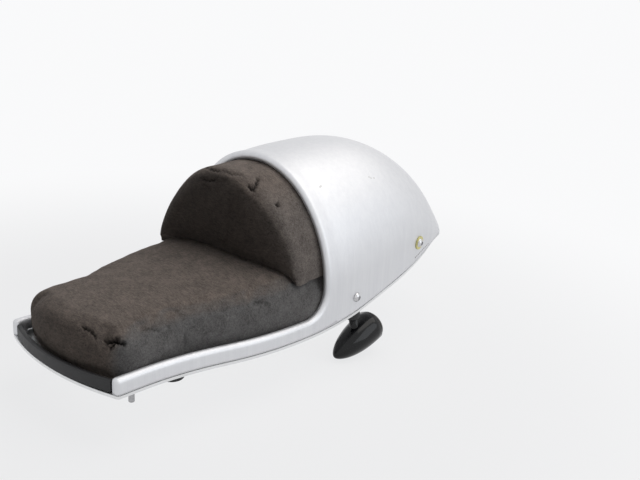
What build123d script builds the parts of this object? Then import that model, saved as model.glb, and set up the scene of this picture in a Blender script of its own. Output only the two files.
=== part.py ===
from build123d import *
from math import asin, atan2, cos, degrees, hypot, radians, sin, sqrt
import os

# Seat unit of a cafe racer: cushioned solo seat and aluminium tail cowl on a base plate.
# Millimetres. +X forward, +Y to the rider's left, +Z up. The origin is the middle of the
# four mounting studs, on the plane the rubber buffers rest on.

# Where things lie along the unit
RIM_X = -130.0            # front plane of the cowl's rolled rim
FRONT_X = 116.0           # front ends of the side strips
FRONT_BOW = 13.0          # how far the front edge bows out in the middle
WAIST_FRONT_X = 90.0      # the strips run straight ahead of this
WAIST_BACK_X = -90.0      # and straight behind this

# Widths and heights
RIM_HALF = 113.0          # half width at the rim
FRONT_HALF = 89.0         # half width at the front
BUFFER_H = 6.0            # buffers lift the base plate off the frame
PLATE_T = 3.0
SEAM = 0.6                # dark line between base plate and cowl
STRIP_TOP = 19.5          # strip height above the plate's underside
RIM_TOP = 171.2           # rim height above the plate's underside
KICK_DEG = 13.0           # the tail end of the base rises at this angle
KICK_R = 400.0
KICK_X = RIM_X + 33.0     # the bend starts here

# Sheet, clearances and roundings
WALL = 2.0
BEAD_R = 5.0              # rolled edge along strips and rim
RIM_DEEP = 12.0           # the rim runs straight back this far before the hump starts
END_LEN, END_R = 12.0, 3.5    # closed front ends of the strips
COVE_R = 27.0             # sweep from the strip up into the rim
CORNER_R = 4.0
FIT = 0.3                 # gap between touching curved pieces
SPRING = 0.29             # share of the arch's height that stands upright
SKIRT = 5.0               # the arches start this far below the base line

# Leaning arches of the tail cowl: foot and crown behind the rim, half width, crown height.
# They tip back more and more until the last one lies along the base, just below it.
COWL = [
    # foot, half, crown back, crown height
    (0.0, 113.0, 0.0, 171.2),
    (33.0, 112.85, 36.0, 172.9),
    (64.0, 111.9, 72.0, 174.2),
    (104.0, 109.0, 120.0, 172.6),
    (148.0, 103.6, 172.0, 157.6),
    (180.0, 96.2, 216.0, 129.0),
    (200.0, 89.0, 247.5, 95.5),
    (211.0, 83.8, 264.0, 75.5),
    (218.0, 80.0, 272.0, 54.0),
]

# Cushions
PAD_EDGE_Z = 54.7         # cushion height at the shoulders, above the plate's underside
PAD_CROWN_Z = 62.7        # and along the middle
PAD_TILT = 5.0            # the seat rises towards the back pad
PAD_SHOULDER_R = 17.0
PAD_CORNER_R = 20.0       # front corners in plan
PAD_BACK = 20.0           # the cushion runs this far under the back pad
BACK_FACE = 56.0          # the back pad stands this far ahead of the rim
BACK_DEPTH = 16.0         # and reaches this far behind it
BACK_EDGE_R = 18.0
BACK_FOOT = 17.0          # how far its foot rolls in
BACK_LEAN = 9.0           # its face leans forward this much over the height of HUGE
LIP_H = 12.0              # black edging across the front
LIP_T = 4.0

# Pressed ribs of the base plate
RIB_Y, RIB_LEN, RIB_W, RIB_DEEP, RIB_R = 34.0, 170.0, 12.0, 2.0, 1.5

# Hardware
STUD_R = 3.0
STUD_X, STUD_Y = 80.0, 60.0
STUD_BELOW = 20.0         # thread below the mounting plane
STUD_HEAD_R, STUD_HEAD_T = 7.0, 1.5
BUFFER_R = 12.0
BUFFER_HOLLOW_R, BUFFER_HOLLOW = 4.0, 2.5
BUFFER_X, BUFFER_Y = 45.0, 76.0
SCREW_R, SCREW_HEAD_R, SCREW_HEAD_H = 3.0, 5.25, 3.4
SCREW_LEN, SCREW_HOLE_R = 12.25, 3.4
SOCKET_AF, SOCKET_DEEP = 4.0, 2.0
WASHER_R, WASHER_T = 8.0, 1.2
SCREWS = [
    # name, behind the rim, above the plate's underside, washer
    ("front", 47.0, 27.7, False),
    ("rear", 166.0, 60.7, True),
]

# Indicators
LAMP_BACK, LAMP_Y = 55.0, 100.0   # stem foot, behind the rim and off the middle
LAMP_PITCH = 20.0                 # nose-down
LAMP_R, LAMP_LEN = 18.0, 63.0
LENS_DEEP = 9.0
STEM_R, STEM_LEN = 5.0, 28.0
FOOT_R, FOOT_T = 8.0, 13.0

Z0 = BUFFER_H             # underside of the base plate
JOIN_X = RIM_X - BEAD_R - RIM_DEEP    # rim and hump are welded here
HUGE = 400.0

os.makedirs("parts", exist_ok=True)


def prism_y(edges):
    """Solid across the whole width from a closed outline of the side view (x, z)."""
    face = make_face(edges)
    return extrude(Plane.XZ * face, amount=HUGE, both=True)


def below_line(offset):
    """Side-view edges of the base line, moved up by offset, from front to tail."""
    a, r = radians(KICK_DEG), KICK_R - offset
    centre = (KICK_X, Z0 + KICK_R)
    on = [(centre[0] - r * sin(t), centre[1] - r * cos(t)) for t in (0, a / 2, a)]
    far = (on[2][0] - HUGE * cos(a), on[2][1] + HUGE * sin(a))
    start = (HUGE, Z0 + offset)
    return [Line(start, on[0]), ThreePointArc(*on), Line(on[2], far)], start, far


def base_height(back):
    """Height of the plate's underside at a distance behind the rim."""
    a = radians(KICK_DEG)
    run = KICK_X - (RIM_X - back)
    if run <= 0:
        return Z0
    if run < KICK_R * sin(a):
        return Z0 + KICK_R - sqrt(KICK_R**2 - run**2)
    return Z0 + KICK_R * (1 - cos(a)) + (run - KICK_R * sin(a)) * sin(a) / cos(a)


def above(offset):
    """Everything above the base line moved up by offset."""
    edges, start, far = below_line(offset)
    top = Polyline(far, (far[0], HUGE), (HUGE, HUGE), start)
    return prism_y(edges + [top])


def arch_points(half, top, inset=0.0, foot=0.0):
    """Left half of an upright arch from its foot: post, side arc, crown arc.

    Side and crown radii follow from width and rise, so that the arcs are tangent and
    always meet where the arch leans at half a right angle.
    """
    spring = SPRING * top
    rise = top - spring
    side = rise + (rise - half) / sqrt(2)
    centre, r = half - side, side - inset

    def on_side(deg):
        return centre + r * cos(radians(deg)), spring + r * sin(radians(deg))

    return (half - inset, foot), on_side(0), on_side(22.5), on_side(45), (0.0, top - inset)


def arch_face(half, top, inset=0.0, low=0.0):
    """Arch-shaped face, width along local x and height along local y."""
    foot, spring, middle, joint, crown = arch_points(half, top, inset, low)
    left = [(-q[0], q[1]) for q in (foot, spring, middle, joint)]
    return make_face([
        Line(foot, spring), ThreePointArc(spring, middle, joint),
        ThreePointArc(joint, crown, left[3]), ThreePointArc(left[3], left[2], left[1]),
        Line(left[1], left[0]), Line(left[0], foot)])


def hump(inset):
    """Solid tail hump, its skin moved in by inset, running down past the base line."""
    faces = []
    for foot, half, back, height in COWL:
        low = base_height(foot) - SKIRT
        rise, run_back = Z0 + height - low, back - foot
        lean = atan2(run_back, rise)
        plane = Plane(origin=(min(RIM_X - foot, JOIN_X), 0, low), x_dir=(0, 1, 0),
                      z_dir=(cos(lean), 0, sin(lean)))
        faces.append(plane * arch_face(half, hypot(rise, run_back), inset, -1.5 * inset))
    return loft(faces)


def waist(inset, sign):
    """Left (or right) edge of the plan from the rim to the front, moved in by inset."""
    dx, dy = WAIST_FRONT_X - WAIST_BACK_X, RIM_HALF - FRONT_HALF
    r = (dx * dx + dy * dy) / (4 * dy)
    half_turn = asin(dx / 2 / r) / 2
    outer, inner = r - inset, r + inset

    def back_arc(t):
        return WAIST_BACK_X + outer * sin(t), sign * (RIM_HALF - r + outer * cos(t))

    def front_arc(t):
        return WAIST_FRONT_X - inner * sin(t), sign * (FRONT_HALF + r - inner * cos(t))

    return [back_arc(0), back_arc(half_turn), back_arc(2 * half_turn),
            front_arc(half_turn), front_arc(0)]


def plan_face(inset, corner, front, x_back):
    """Plan of the seat from x_back to its bowed front edge, moved in by inset."""
    edges = []
    for sign in (1, -1):
        b, m1, m, m2, f = waist(inset, sign)
        half = FRONT_HALF - inset
        turn = FRONT_X - front
        c1, c2 = (turn - corner, sign * half), (turn, sign * (half - corner))
        cm = (turn - corner * (1 - sqrt(0.5)), sign * (half - corner * (1 - sqrt(0.5))))
        edges += [Line((x_back, b[1]), b), ThreePointArc(b, m1, m), ThreePointArc(m, m2, f),
                  Line(f, c1), ThreePointArc(c1, cm, c2)]
    half = FRONT_HALF - inset - corner
    tip = FRONT_X - front + FRONT_BOW
    edges += [ThreePointArc((FRONT_X - front, half), (tip, 0), (FRONT_X - front, -half)),
              Line((x_back, RIM_HALF - inset), (x_back, inset - RIM_HALF))]
    return make_face(edges)


def plan_prism(inset, corner, front, x_back, low, high):
    """Upright block on the plan of the seat."""
    return Pos(0, 0, low) * extrude(plan_face(inset, corner, front, x_back), amount=high - low)


def rolled(length):
    """Section of the sheet's edge: wall going down by length, its top rolled inwards."""
    r, at = BEAD_R, sqrt(BEAD_R**2 - (BEAD_R - WALL) ** 2)
    return make_face([Line((0, -length), (0, 0)),
                      ThreePointArc((0, 0), (-2 * r, 0), (-WALL, -at)),
                      Line((-WALL, -at), (-WALL, -length)), Line((-WALL, -length), (0, -length))])


def run(edge, outward, length):
    """Rolled sheet edge along one straight or curved line of the outer skin."""
    face = Plane(origin=edge @ 0, x_dir=outward, z_dir=edge % 0) * rolled(length)
    if edge.geom_type == GeomType.LINE:
        return extrude(face, amount=edge.length)
    centre = edge.arc_center
    axis = Axis(centre, (edge @ 0 - centre).cross(edge % 0))
    return revolve(face, axis, degrees(edge.length / edge.radius))


def strip_end(x, y, z, height):
    """Closed front end of a strip, its edges rounded."""
    r = BEAD_R
    face = make_face([Line((0, -height), (0, 0)), ThreePointArc((0, 0), (-r, r), (-2 * r, 0)),
                      Polyline((-2 * r, 0), (-2 * r, -height), (0, -height))])
    block = extrude(Plane(origin=(x, y, z), x_dir=(0, 1, 0), z_dir=(1, 0, 0)) * face,
                    amount=END_LEN)
    tip = [e for e in block.edges()
           if e.center().X > x + END_LEN - 0.01 and e.center().Z > z - height]
    return fillet(tip, END_R)


def left_edge():
    """Left strip, cove and rim post: everything of the cowl on one side but the hump."""
    z, low = Z0 + STRIP_TOP - BEAD_R, base_height(0) - SKIRT
    x_rim, turn = RIM_X - BEAD_R, COVE_R + BEAD_R
    drop = STRIP_TOP - BEAD_R - PLATE_T - SEAM
    cove = (RIM_X + COVE_R, Z0 + STRIP_TOP + COVE_R)
    points = arch_points(RIM_HALF, Z0 + RIM_TOP - low)[1:4]
    spring, middle, joint = [(x_rim, q[0], low + q[1]) for q in points]
    b, m1, m, m2, f = [(*q, z) for q in waist(0, 1)]
    top, foot = (x_rim, RIM_HALF, cove[1]), (cove[0], RIM_HALF, z)
    mid = (cove[0] - turn * sqrt(0.5), RIM_HALF, cove[1] - turn * sqrt(0.5))
    end = FRONT_X - END_LEN
    side_arc = ThreePointArc(joint, middle, spring)
    outward = (Vector(*joint) - side_arc.arc_center)
    whole = run(side_arc, outward, RIM_DEEP)
    whole += run(Line(spring, top), (0, 1, 0), RIM_DEEP)
    whole += run(ThreePointArc(top, mid, foot), (0, 1, 0), 2 * WALL + BEAD_R)
    whole += run(Line(foot, b), (0, 1, 0), drop)
    whole += run(ThreePointArc(b, m1, m), (0, 1, 0), drop)
    turn_in = ThreePointArc(m, m2, f)
    whole += run(turn_in, Vector(0, 0, 1).cross(turn_in % 0), drop)
    whole += run(Line(f, (end, f[1], z)), (0, 1, 0), drop)
    whole += strip_end(end, f[1], z, drop)
    # flat sheet behind and below the cove
    gap = turn + BEAD_R
    web = prism_y([
        ThreePointArc((cove[0], cove[1] - gap),
                      (cove[0] - gap * sqrt(0.5), cove[1] - gap * sqrt(0.5)),
                      (cove[0] - gap, cove[1])),
        Polyline((cove[0] - gap, cove[1]), (cove[0] - gap, spring[2]), (x_rim - RIM_DEEP, spring[2]),
                 (x_rim - RIM_DEEP, 0), (cove[0], 0), (cove[0], cove[1] - gap))])
    return whole + (web & Pos(0, RIM_HALF - WALL / 2, 0) * Box(2 * HUGE, WALL, 2 * HUGE))


def rim_crown():
    """Rolled edge over the top of the rim."""
    low = base_height(0) - SKIRT
    points = arch_points(RIM_HALF, Z0 + RIM_TOP - low)
    x = RIM_X - BEAD_R
    arc = ThreePointArc((x, -points[3][0], low + points[3][1]), (x, 0, low + points[4][1]),
                        (x, points[3][0], low + points[3][1]))
    return run(arc, arc @ 0 - arc.arc_center, RIM_DEEP)


def on_cowl(skin, back, height, sign):
    """Point on the cowl's side and the way it faces there."""
    ray = Axis((RIM_X - back, sign * HUGE, Z0 + height), (0, -sign, 0))
    point, normal = min(skin.find_intersection_points(ray), key=lambda hit: -sign * hit[0].Y)
    if normal.Y * sign < 0:
        normal = -normal
    return point, normal


def screw():
    """Domed socket screw, its seat at z = 0 and its shank below."""
    dome = (SCREW_HEAD_R**2 + SCREW_HEAD_H**2) / (2 * SCREW_HEAD_H)
    head = Pos(0, 0, SCREW_HEAD_H - dome) * Sphere(dome)
    head &= Pos(0, 0, SCREW_HEAD_H) * Cylinder(SCREW_HEAD_R, 2 * SCREW_HEAD_H)
    shank = Pos(0, 0, -SCREW_LEN) * extrude(Circle(SCREW_R), amount=SCREW_LEN + SCREW_HEAD_H / 4)
    socket = extrude(Plane.XY.offset(SCREW_HEAD_H - SOCKET_DEEP)
                     * RegularPolygon(SOCKET_AF / 2, 6, major_radius=False), amount=2 * SCREW_HEAD_H)
    return head + shank - socket


def dome(r, base, tip):
    """Quarter outline of a spherical cap from radius r at base to the axis at tip."""
    way = 1 if tip > base else -1
    big = (r * r + (tip - base) ** 2) / (2 * abs(tip - base))
    centre = tip - way * big
    half_angle = atan2(r, way * (base - centre)) / 2
    middle = (big * sin(half_angle), centre + way * big * cos(half_angle))
    return ThreePointArc((r, base), middle, (0, tip))


def lamp(sign):
    """Bullet indicator hanging from the plate: body with stem, lens and rubber foot."""
    a, p = radians(KICK_DEG), radians(LAMP_PITCH)
    foot = Vector(RIM_X - LAMP_BACK, sign * LAMP_Y, base_height(LAMP_BACK))
    down = Vector(-sin(a), 0, -cos(a))
    heart = foot + down * (FOOT_T + STEM_LEN)
    nose = Vector(cos(p), 0, -sin(p))
    frame = Plane(origin=heart - nose * (0.42 * LAMP_LEN), x_dir=(0, 1, 0), z_dir=nose)
    shell = make_face([
        Polyline((0, 0), (LAMP_R - 0.8, 0), (LAMP_R, 0.8), (LAMP_R, 7)),
        ThreePointArc((LAMP_R, 7), (0.76 * LAMP_R, 0.64 * LAMP_LEN), (1.8, LAMP_LEN - 1)),
        dome(1.8, LAMP_LEN - 1, LAMP_LEN), Line((0, LAMP_LEN), (0, 0))])
    body = frame * revolve(Plane.XZ * shell, Axis.Z)
    stem_at = Plane(origin=foot + down * FOOT_T, z_dir=down)
    body += stem_at * extrude(Circle(STEM_R), amount=STEM_LEN)
    cap = make_face([Line((0, 0), (LAMP_R - 1.2, 0)), dome(LAMP_R - 1.2, 0, -LENS_DEEP),
                     Line((0, -LENS_DEEP), (0, 0))])
    lens = frame * revolve(Plane.XZ * cap, Axis.Z)
    pad = Plane(origin=foot, z_dir=down) * extrude(Circle(FOOT_R), amount=FOOT_T)
    pad = fillet(pad.edges().sort_by(Axis.Z)[:1], 1.2) - above(0)
    return body, lens, pad


# Base plate: flat under the seat, bent up under the tail, with pressed stiffening ribs
low_edges, low_start, low_far = below_line(0)
top_edges, top_start, top_far = below_line(PLATE_T)
sheet = prism_y(low_edges + [Line(low_far, top_far)] + top_edges + [Line(top_start, low_start)])
skin = hump(0)
base = sheet & (plan_prism(0, CORNER_R, 0, JOIN_X, -HUGE, HUGE) + skin)
for y in (-RIB_Y, 0, RIB_Y):
    rib = Pos(0, y, Z0 - RIB_DEEP) * extrude(SlotOverall(RIB_LEN, RIB_W), amount=RIB_DEEP + PLATE_T / 6)
    base += fillet(rib.edges().group_by(Axis.Z)[0], RIB_R)

# Cowl: hollow hump, side strips and rolled edge as one welded skin
side = left_edge()
cowl = side + mirror(side, Plane.XZ) + rim_crown() + (skin - hump(WALL))
cowl &= above(PLATE_T + SEAM)

fixings = []
for name, back, height, washer in SCREWS:
    for hand, sign in (("left", 1), ("right", -1)):
        point, normal = on_cowl(skin, back, height, sign)
        seat = Plane(origin=point + normal * FIT / 2, z_dir=normal)
        cowl -= seat * Cylinder(SCREW_HOLE_R, 8 * WALL)
        raise_by = 0.0
        if washer:
            ring = extrude(Circle(WASHER_R) - Circle(SCREW_HOLE_R), amount=WASHER_T)
            fixings.append((f"cowl_washer_{name}_{hand}", seat * ring))
            raise_by = WASHER_T
        fixings.append((f"cowl_screw_{name}_{hand}", seat * Pos(0, 0, raise_by) * screw()))

# Seat cushion: crowned top, rounded shoulders, down to the base plate between the strips
pad_inset = 2 * BEAD_R + FIT
crown_r = ((FRONT_HALF - pad_inset) ** 2 + (PAD_CROWN_Z - PAD_EDGE_Z) ** 2) / (
    2 * (PAD_CROWN_Z - PAD_EDGE_Z))


def crowned(height):
    """Everything under the crowned seating surface, raised by height."""
    round_bar = Plane.YZ * Circle(crown_r + height)
    return (Pos(0, 0, Z0 + PAD_CROWN_Z - crown_r) * Rot(0, PAD_TILT, 0)
            * extrude(round_bar, amount=HUGE, both=True))


pad = plan_prism(pad_inset, PAD_CORNER_R, LIP_T + FIT, RIM_X - PAD_BACK, 0, HUGE)
pad &= crowned(0)
pad &= above(PLATE_T + FIT)
seating = pad.faces().sort_by(Axis.Z)[-1]
pad = fillet([e for e in seating.edges() if e.center().X > RIM_X - PAD_BACK + 1], PAD_SHOULDER_R)

# Back pad: half-round bolster filling the rim, rolled in at its foot where it meets the cushion
low_z = base_height(0) - SKIRT
rim_plane = Plane(origin=(RIM_X - BACK_DEPTH, 0, low_z), x_dir=(0, 1, 0), z_dir=(1, 0, 0))
back_pad = extrude(rim_plane * arch_face(RIM_HALF, Z0 + RIM_TOP - low_z, pad_inset),
                   amount=BACK_DEPTH + BACK_FACE)
face_x = RIM_X + BACK_FACE
back_pad = fillet([e for e in back_pad.edges() if abs(e.center().X - face_x) < 0.01
                   and e.center().Z > Z0 + 1], BACK_EDGE_R)
foot_z = Z0 + PAD_EDGE_Z
back_pad &= prism_y([
    Polyline((face_x + BACK_LEAN, HUGE), (-HUGE, HUGE), (-HUGE, 0), (face_x - BACK_FOOT, 0),
             (face_x - BACK_FOOT, foot_z)),
    ThreePointArc((face_x - BACK_FOOT, foot_z),
                  (face_x - BACK_FOOT * 0.29, foot_z + BACK_FOOT * 0.71),
                  (face_x, foot_z + BACK_FOOT * 1.6)),
    Polyline((face_x, foot_z + BACK_FOOT * 1.6), (face_x + BACK_LEAN, HUGE))])
back_pad -= crowned(FIT)

# Black edging across the front between the strip ends
half = FRONT_HALF - 2 * BEAD_R - FIT
ends = [(FRONT_X, half), (FRONT_X, -half), (FRONT_X - LIP_T, -half), (FRONT_X - LIP_T, half)]
lip = extrude(make_face([
    ThreePointArc(ends[0], (FRONT_X + FRONT_BOW, 0), ends[1]), Line(ends[1], ends[2]),
    ThreePointArc(ends[2], (FRONT_X + FRONT_BOW - LIP_T, 0), ends[3]), Line(ends[3], ends[0])]),
    amount=LIP_H)
lip = fillet(lip.edges().group_by(Axis.Z)[-1].sort_by(Axis.X)[-1:], LIP_T * 0.375)
lip = Pos(0, 0, Z0 + PLATE_T + SEAM) * lip

# One buffer and one stud, used four times each
stud = Pos(0, 0, Z0 - STUD_HEAD_T) * extrude(Circle(STUD_HEAD_R), amount=STUD_HEAD_T)
stud += Pos(0, 0, -STUD_BELOW) * extrude(Circle(STUD_R), amount=STUD_BELOW + Z0 - STUD_HEAD_T / 2)
stud = chamfer(stud.edges().sort_by(Axis.Z)[:1], STUD_R / 5)
buffer = extrude(Circle(BUFFER_R), amount=BUFFER_H)
buffer = fillet(buffer.edges().sort_by(Axis.Z)[:1], BUFFER_H / 4)
buffer -= extrude(Circle(BUFFER_HOLLOW_R), amount=BUFFER_HOLLOW)

nodes = [("tail_cowl", cowl), ("base_plate", base), ("seat_pad", pad), ("back_pad", back_pad),
         ("front_edging", lip)] + fixings
for end, sx in (("front", 1), ("rear", -1)):
    for hand, sy in (("left", 1), ("right", -1)):
        nodes.append((f"mount_stud_{end}_{hand}", Pos(sx * STUD_X, sy * STUD_Y, 0) * stud))
        nodes.append((f"rubber_buffer_{end}_{hand}", Pos(sx * BUFFER_X, sy * BUFFER_Y, 0) * buffer))
for hand, sign in (("left", 1), ("right", -1)):
    body, lens, pad_foot = lamp(sign)
    nodes += [(f"indicator_body_{hand}", body), (f"indicator_lens_{hand}", lens),
              (f"indicator_foot_{hand}", pad_foot)]

for name, shape in nodes:
    export_step(shape, f"parts/{name}.step")
    box = shape.bounding_box()
    print(f"{name:28s} {len(shape.solids())} solid  volume {shape.volume / 1000:9.2f} cm3  "
          f"z {box.min.Z:7.1f} to {box.max.Z:6.1f}")
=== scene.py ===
import bpy
import bmesh
import numpy as np
from mathutils import Matrix


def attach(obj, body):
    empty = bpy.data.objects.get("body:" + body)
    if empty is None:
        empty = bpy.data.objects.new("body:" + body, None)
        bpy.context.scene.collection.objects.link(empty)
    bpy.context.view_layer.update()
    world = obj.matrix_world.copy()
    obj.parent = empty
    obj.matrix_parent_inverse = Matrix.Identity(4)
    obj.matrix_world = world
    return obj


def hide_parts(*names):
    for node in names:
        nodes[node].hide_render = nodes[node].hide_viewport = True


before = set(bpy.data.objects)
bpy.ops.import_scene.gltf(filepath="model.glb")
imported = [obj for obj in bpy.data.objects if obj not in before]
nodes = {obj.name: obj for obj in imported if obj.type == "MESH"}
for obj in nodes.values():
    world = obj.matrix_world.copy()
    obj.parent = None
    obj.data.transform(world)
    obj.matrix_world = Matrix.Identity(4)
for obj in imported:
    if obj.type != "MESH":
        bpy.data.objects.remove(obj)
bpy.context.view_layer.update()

# %% [markdown]
# # A cafe racer's seat unit
# The solids come in as one frame: a base plate, a tail cowl, two cushions, screws and two
# indicators. They already stand where they belong, in metres, with +X forward, +Y to the left
# and +Z up. This lesson dresses them: first camera and light, then the sheet metal, then the
# cushions, then the small hardware.

# %% Scene and tools
scene = bpy.context.scene
scene.view_settings.view_transform = "Standard"
MM = 0.001


def socket_values(shader, **values):
    """Sets constants straight on a shader's own sockets; underscores stand for spaces."""
    for name, value in values.items():
        shader.inputs[name.replace("_", " ")].default_value = value


def new_object(name, data):
    """Puts a mesh, a lamp or a camera into the scene as an object that sits at the origin."""
    piece = bpy.data.objects.new(name, data)
    scene.collection.objects.link(piece)
    return piece


def stand(piece, *columns):
    """Places a camera or a lamp: its right, up and backward axes and its place are columns."""
    matrix = np.eye(4)
    matrix[:3] = np.stack(columns, -1)
    piece.matrix_world = Matrix(matrix.tolist())


print("nodes loaded:", len(nodes))

# %% [markdown]
# ## Camera
# The seat is seen from the front left and from a little above, with a fairly long lens. The
# view is written as three turns and a place, so each can be changed by itself. Blender's
# camera looks along its own minus Z, so the matrix has right, up and backwards as columns.

# %% Camera
CAMERA_PLACE = np.array([552.2, 717.9, 422.0]) * MM
VIEW_TURN, VIEW_DROP, VIEW_ROLL = np.radians([47.72, 18.97, 2.91])
FOCAL_PIXELS, IMAGE_WIDE, IMAGE_HIGH = 950.0, 640.0, 480.0
SENSOR_WIDE = 36.0

ahead = -np.array([np.sin(VIEW_TURN) * np.cos(VIEW_DROP),
                   np.cos(VIEW_TURN) * np.cos(VIEW_DROP), np.sin(VIEW_DROP)])
level = np.cross(ahead, [0.0, 0.0, 1.0])
level /= np.linalg.norm(level)
upright = np.cross(level, ahead)
right = level * np.cos(VIEW_ROLL) + upright * np.sin(VIEW_ROLL)
up = upright * np.cos(VIEW_ROLL) - level * np.sin(VIEW_ROLL)

lens_data = bpy.data.cameras.new("seat_camera")
lens_data.sensor_width = SENSOR_WIDE
lens_data.lens = SENSOR_WIDE * FOCAL_PIXELS / IMAGE_WIDE
camera = new_object("seat_camera", lens_data)
stand(camera, right, up, -ahead, CAMERA_PLACE)
scene.camera = camera
print("lens", round(lens_data.lens, 2), "mm")

# %% From the scene into the picture and back


def to_picture(points):
    """Pixel place of points in metres: sideways and upwards over depth, from the middle."""
    away = points - CAMERA_PLACE
    deep = away @ ahead
    return np.stack([IMAGE_WIDE / 2 + FOCAL_PIXELS * (away @ right) / deep,
                     IMAGE_HIGH / 2 - FOCAL_PIXELS * (away @ up) / deep], -1)


def from_picture(piece, spot):
    """Place on a piece that a pixel shows: a ray from the camera through the pixel hits it."""
    ray = (ahead + right * (spot[0] - IMAGE_WIDE / 2) / FOCAL_PIXELS
           - up * (spot[1] - IMAGE_HIGH / 2) / FOCAL_PIXELS)
    graph = bpy.context.evaluated_depsgraph_get()
    return piece.ray_cast(CAMERA_PLACE.tolist(), ray.tolist(), depsgraph=graph)[1]


print("the origin shows at pixel", to_picture(np.zeros((1, 3)))[0].round(1))

# %% [markdown]
# ## Floor and light
# A white studio: a wide pale floor, a pale sky, one big warm lamp high up behind the tail, and
# a cool one further off to the left. Hardly any light comes from ahead, so the back pad's front
# lies in shade and throws a soft shadow on the seat. More light would make the floor white too,
# but it would bleach the object. So the floor is simply white to the camera and to polished
# metal, and close to the object it is white paint as well, which takes the soft shadow.

# %% A grid becomes the floor
FLOOR_Z, FLOOR_HALF, FLOOR_GRID = -44.0 * MM, 6.0, 9


def grid_faces(across, along):
    """Corner numbers of the quads of a grid with across x along points, row after row."""
    corner = np.arange((across - 1) * along).reshape(across - 1, along)[:, :-1]
    return np.stack([corner, corner + along, corner + along + 1, corner + 1], -1).reshape(-1, 4)


def grid_mesh(name, points):
    """Mesh of one surface from an array of points, rows x columns x 3, in metres."""
    mesh = bpy.data.meshes.new(name)
    mesh.from_pydata(points.reshape(-1, 3), [], grid_faces(*points.shape[:2]))
    mesh.polygons.foreach_set("use_smooth", np.ones(len(mesh.polygons), bool))
    mesh.update()
    return mesh


def floor_points():
    """Flat square at floor height: x and y run over a grid, z stays the same."""
    side = np.linspace(-FLOOR_HALF, FLOOR_HALF, FLOOR_GRID)
    x, y = np.meshgrid(side, side, indexing="ij")
    return np.stack([x, y, np.full_like(x, FLOOR_Z)], -1)


floor = new_object("studio_floor", grid_mesh("studio_floor", floor_points()))
print("floor at", FLOOR_Z, "m")

# %% White to the eye
STUDIO_WHITE = (0.950, 0.952, 0.960, 1.0)


def white_to_eye(tree):
    """Mix that is plain white to camera and reflections; paint or sky goes into input 1.

    Gives back the mix and the node whose second input says how much of the white counts.
    """
    n, link = tree.nodes, tree.links.new
    path = n.new("ShaderNodeLightPath")
    seen = n.new("ShaderNodeMath")
    seen.operation = "MAXIMUM"
    link(path.outputs["Is Camera Ray"], seen.inputs[0])
    link(path.outputs["Is Glossy Ray"], seen.inputs[1])
    glow = n.new("ShaderNodeEmission")
    socket_values(glow, Color=STUDIO_WHITE, Strength=1.0)
    mix = n.new("ShaderNodeMixShader")
    share = n.new("ShaderNodeMath")
    share.operation = "MULTIPLY"
    share.inputs[1].default_value = 1.0
    link(seen.outputs[0], share.inputs[0])
    link(share.outputs[0], mix.inputs[0])
    link(glow.outputs[0], mix.inputs[2])
    return mix, share


def fade(tree, value, low, high, at_low, at_high):
    """Value mapped smoothly from the range low..high to at_low..at_high, and held outside."""
    made = tree.nodes.new("ShaderNodeMapRange")
    made.interpolation_type = "SMOOTHSTEP"
    socket_values(made, From_Min=low, From_Max=high, To_Min=at_low, To_Max=at_high)
    tree.links.new(value, made.inputs["Value"])
    return made.outputs["Result"]


# %% Floor paint
FLOOR_GREY, FLOOR_ROUGH = (0.70, 0.70, 0.70, 1.0), 0.9
SHADOW_NEAR, SHADOW_FAR = 0.30, 0.85
WHITE_NEAR, WHITE_FAR = 0.80, 1.0

floor_paint = bpy.data.materials.new("floor_white")
floor_paint.use_nodes = True
tree = floor_paint.node_tree
matt = tree.nodes["Principled BSDF"]
socket_values(matt, Base_Color=FLOOR_GREY, Roughness=FLOOR_ROUGH)
mixed, white_share = white_to_eye(tree)
where = tree.nodes.new("ShaderNodeTexCoord")
distance = tree.nodes.new("ShaderNodeVectorMath")
distance.operation = "LENGTH"
tree.links.new(where.outputs["Object"], distance.inputs[0])
tree.links.new(fade(tree, distance.outputs["Value"], SHADOW_NEAR, SHADOW_FAR,
                    WHITE_NEAR, WHITE_FAR), white_share.inputs[1])
tree.links.new(matt.outputs[0], mixed.inputs[1])
tree.links.new(mixed.outputs[0], tree.nodes["Material Output"].inputs["Surface"])
floor.data.materials.append(floor_paint)
print("floor paint takes shadow up to", SHADOW_FAR, "m from the middle")

# %% Sky, brighter behind the tail than ahead
SKY_COLOUR = (0.93, 0.95, 1.0, 1.0)
SKY_BACK, SKY_FRONT = -0.25, 0.45
GLOW_BACK, GLOW_FRONT = 0.55, 0.03

sky = bpy.data.worlds.new("studio_sky")
scene.world = sky
sky.use_nodes = True
tree = sky.node_tree
tree.nodes.clear()
soft = tree.nodes.new("ShaderNodeBackground")
socket_values(soft, Color=SKY_COLOUR)
where = tree.nodes.new("ShaderNodeTexCoord")
axes = tree.nodes.new("ShaderNodeSeparateXYZ")
tree.links.new(where.outputs["Generated"], axes.inputs[0])
tree.links.new(fade(tree, axes.outputs["X"], SKY_BACK, SKY_FRONT, GLOW_BACK, GLOW_FRONT),
               soft.inputs["Strength"])
mixed, _ = white_to_eye(tree)
tree.links.new(soft.outputs[0], mixed.inputs[1])
tree.links.new(mixed.outputs[0], tree.nodes.new("ShaderNodeOutputWorld").inputs["Surface"])
print("sky strength", GLOW_BACK, "behind and", GLOW_FRONT, "ahead")

# %% Lamps
SEAT_MIDDLE = (-0.10, 0.0, 0.08)
SOFTBOX_SIZE = 1.4
SOFTBOXES = {
    # place in metres, watts, colour
    "tail_softbox": ((-0.72, 0.34, 1.45), 7.8, (1.0, 0.955, 0.90)),
    "left_softbox": ((-0.75, 1.9, 0.9), 8.0, (0.90, 0.95, 1.0))}


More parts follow.
